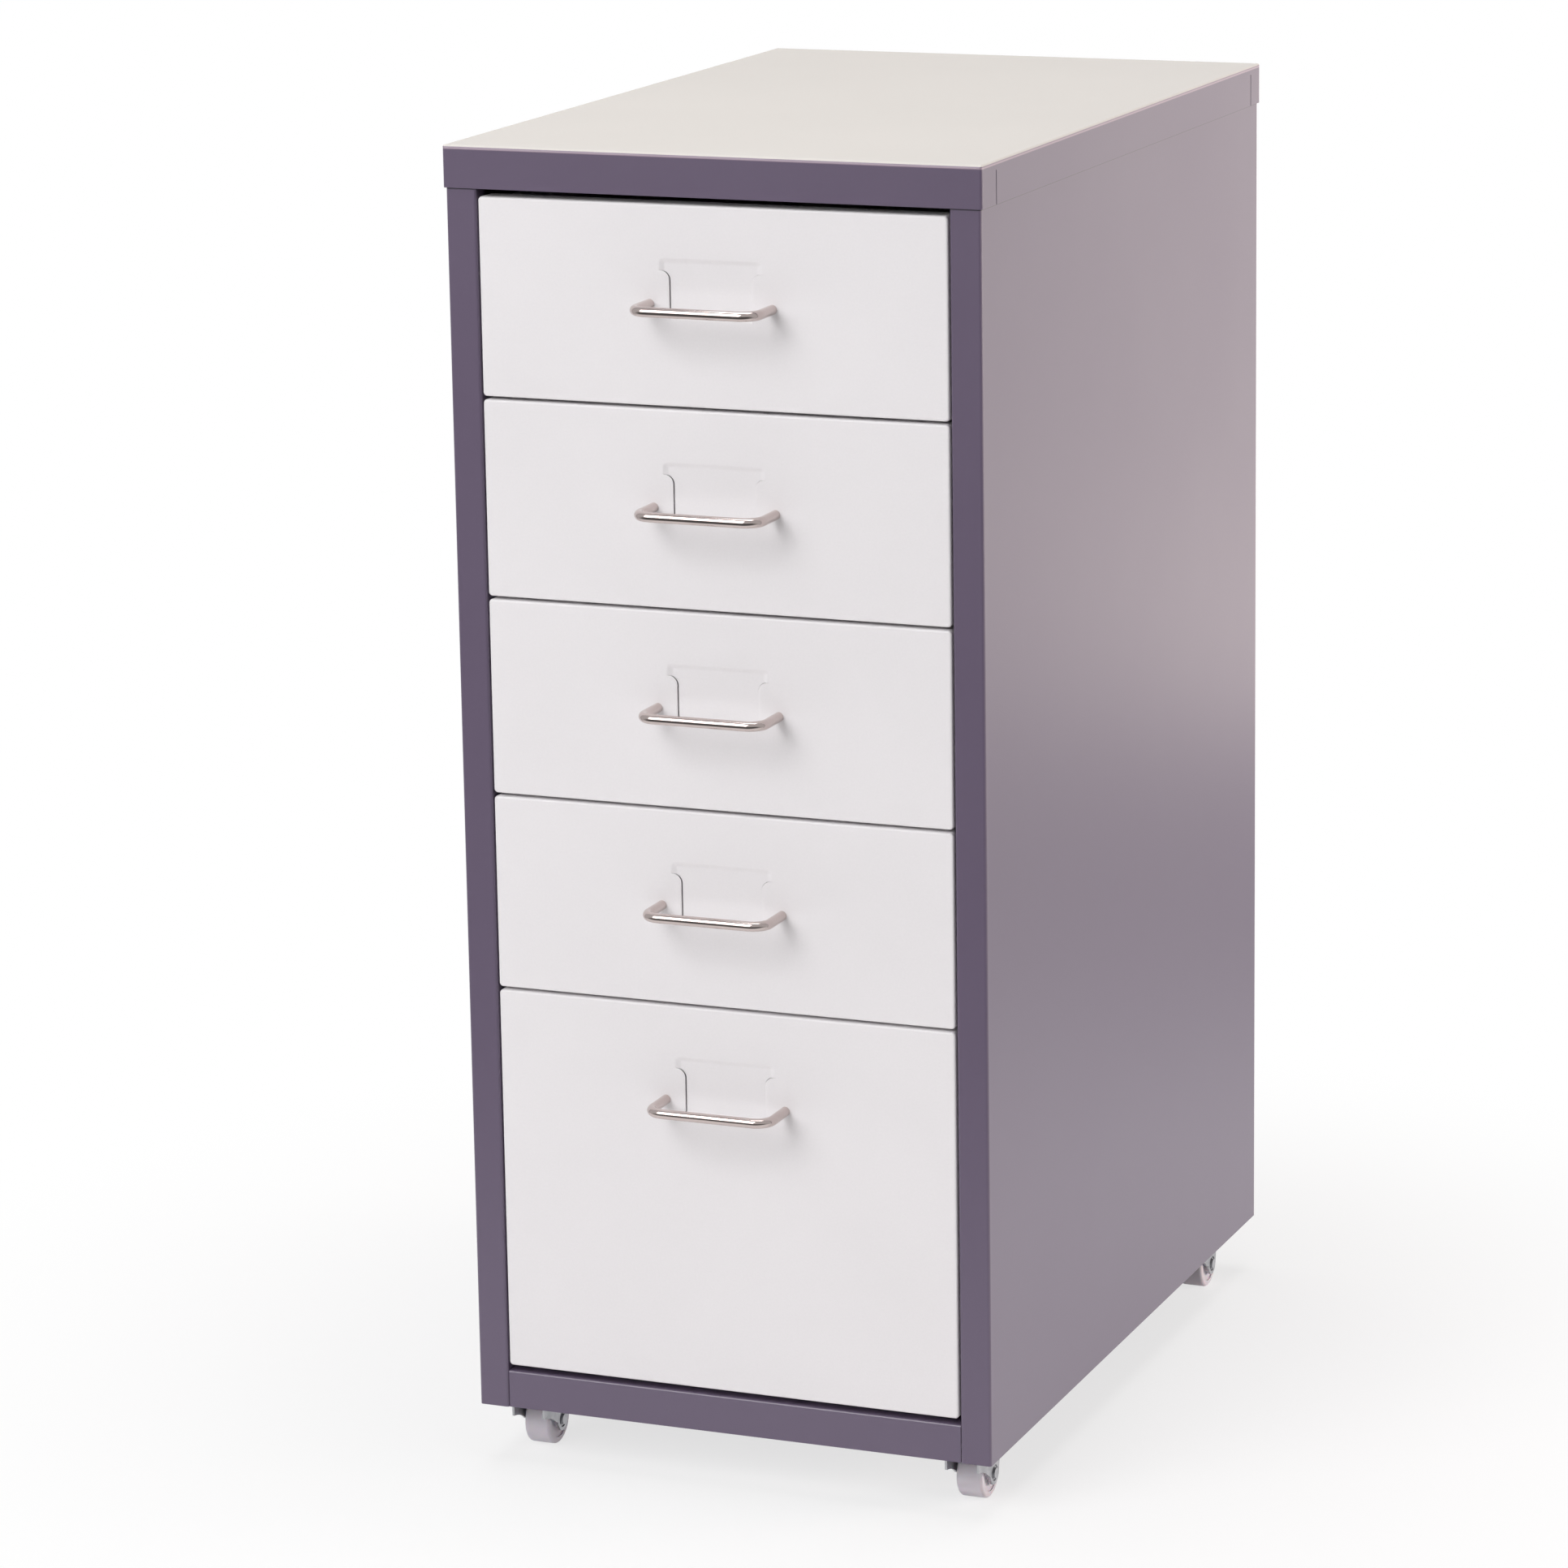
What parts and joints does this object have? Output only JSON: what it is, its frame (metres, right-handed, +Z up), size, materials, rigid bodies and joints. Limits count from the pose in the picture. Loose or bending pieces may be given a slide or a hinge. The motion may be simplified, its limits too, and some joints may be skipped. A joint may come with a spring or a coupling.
{
  "type": "drawer cabinet",
  "caption": "Narrow folded-steel drawer cabinet on swivel casters, with shallow drawers over a deep one, wire bow handles and pressed label pockets.",
  "frame": {"origin": "on the floor, under the centre of the box round the cabinet and its handles", "axes": "+Z up, drawers face -Y, +X to the right as seen from the front"},
  "size_m": [0.28, 0.4556, 0.676],
  "materials": {
    "cabinet_powder_coat": "satin powder coat",
    "lid_powder_coat": "satin powder coat",
    "drawer_powder_coat": "satin powder coat",
    "nickel_wire": "bright nickel plate",
    "zinc_plate": "bright zinc plate",
    "nylon_wheel": "satin moulded nylon"
  },
  "bodies": {
    "cabinet": {"top_panel": "lid_powder_coat", "side_panel_left": "cabinet_powder_coat", "side_panel_right": "cabinet_powder_coat", "back_panel": "cabinet_powder_coat", "base_panel": "cabinet_powder_coat", "front_channel": "zinc_plate", "rear_channel": "zinc_plate", "runners_left": "zinc_plate", "runners_right": "zinc_plate", "back_rivets": "cabinet_powder_coat", "caster_screws": "zinc_plate", "plate_front_left": "zinc_plate", "kingpin_front_left": "zinc_plate", "plate_front_right": "zinc_plate", "kingpin_front_right": "zinc_plate", "plate_rear_left": "zinc_plate", "kingpin_rear_left": "zinc_plate", "plate_rear_right": "zinc_plate", "kingpin_rear_right": "zinc_plate"},
    "drawer_1": {"drawer_1_front": "drawer_powder_coat", "drawer_1_tray": "drawer_powder_coat", "drawer_1_handle": "nickel_wire", "drawer_1_screws": "zinc_plate"},
    "drawer_2": {"drawer_2_front": "drawer_powder_coat", "drawer_2_tray": "drawer_powder_coat", "drawer_2_handle": "nickel_wire", "drawer_2_screws": "zinc_plate"},
    "drawer_3": {"drawer_3_front": "drawer_powder_coat", "drawer_3_tray": "drawer_powder_coat", "drawer_3_handle": "nickel_wire", "drawer_3_screws": "zinc_plate"},
    "drawer_4": {"drawer_4_front": "drawer_powder_coat", "drawer_4_tray": "drawer_powder_coat", "drawer_4_handle": "nickel_wire", "drawer_4_screws": "zinc_plate"},
    "drawer_5": {"drawer_5_front": "drawer_powder_coat", "drawer_5_tray": "drawer_powder_coat", "drawer_5_handle": "nickel_wire", "drawer_5_screws": "zinc_plate"},
    "swivel_front_left": {"fork_front_left": "zinc_plate", "axle_front_left": "zinc_plate"},
    "roller_front_left": {"wheel_front_left": "nylon_wheel"},
    "swivel_front_right": {"fork_front_right": "zinc_plate", "axle_front_right": "zinc_plate"},
    "roller_front_right": {"wheel_front_right": "nylon_wheel"},
    "swivel_rear_left": {"fork_rear_left": "zinc_plate", "axle_rear_left": "zinc_plate"},
    "roller_rear_left": {"wheel_rear_left": "nylon_wheel"},
    "swivel_rear_right": {"fork_rear_right": "zinc_plate", "axle_rear_right": "zinc_plate"},
    "roller_rear_right": {"wheel_rear_right": "nylon_wheel"}
  },
  "joints": [
    {"name": "drawer_1_slide", "type": "slide", "parent": "cabinet", "child": "drawer_1", "axis": [0, -1, 0], "range_m": [0, 0.33]},
    {"name": "drawer_2_slide", "type": "slide", "parent": "cabinet", "child": "drawer_2", "axis": [0, -1, 0], "range_m": [0, 0.33]},
    {"name": "drawer_3_slide", "type": "slide", "parent": "cabinet", "child": "drawer_3", "axis": [0, -1, 0], "range_m": [0, 0.33]},
    {"name": "drawer_4_slide", "type": "slide", "parent": "cabinet", "child": "drawer_4", "axis": [0, -1, 0], "range_m": [0, 0.33]},
    {"name": "drawer_5_slide", "type": "slide", "parent": "cabinet", "child": "drawer_5", "axis": [0, -1, 0], "range_m": [0, 0.33]},
    {"name": "swivel_front_left", "type": "hinge", "parent": "cabinet", "child": "swivel_front_left", "pos_m": [-0.1185, -0.17275, 0.034], "axis": [0, 0, 1], "continuous": true},
    {"name": "spin_front_left", "type": "hinge", "parent": "swivel_front_left", "child": "roller_front_left", "pos_m": [-0.1185, -0.16525, 0.013], "axis": [1, 0, 0], "continuous": true},
    {"name": "swivel_front_right", "type": "hinge", "parent": "cabinet", "child": "swivel_front_right", "pos_m": [0.1185, -0.17275, 0.034], "axis": [0, 0, 1], "continuous": true},
    {"name": "spin_front_right", "type": "hinge", "parent": "swivel_front_right", "child": "roller_front_right", "pos_m": [0.1185, -0.16525, 0.013], "axis": [1, 0, 0], "continuous": true},
    {"name": "swivel_rear_left", "type": "hinge", "parent": "cabinet", "child": "swivel_rear_left", "pos_m": [-0.1185, 0.17775, 0.034], "axis": [0, 0, 1], "continuous": true},
    {"name": "spin_rear_left", "type": "hinge", "parent": "swivel_rear_left", "child": "roller_rear_left", "pos_m": [-0.1185, 0.18525, 0.013], "axis": [1, 0, 0], "continuous": true},
    {"name": "swivel_rear_right", "type": "hinge", "parent": "cabinet", "child": "swivel_rear_right", "pos_m": [0.1185, 0.17775, 0.034], "axis": [0, 0, 1], "continuous": true},
    {"name": "spin_rear_right", "type": "hinge", "parent": "swivel_rear_right", "child": "roller_rear_right", "pos_m": [0.1185, 0.18525, 0.013], "axis": [1, 0, 0], "continuous": true}
  ]
}
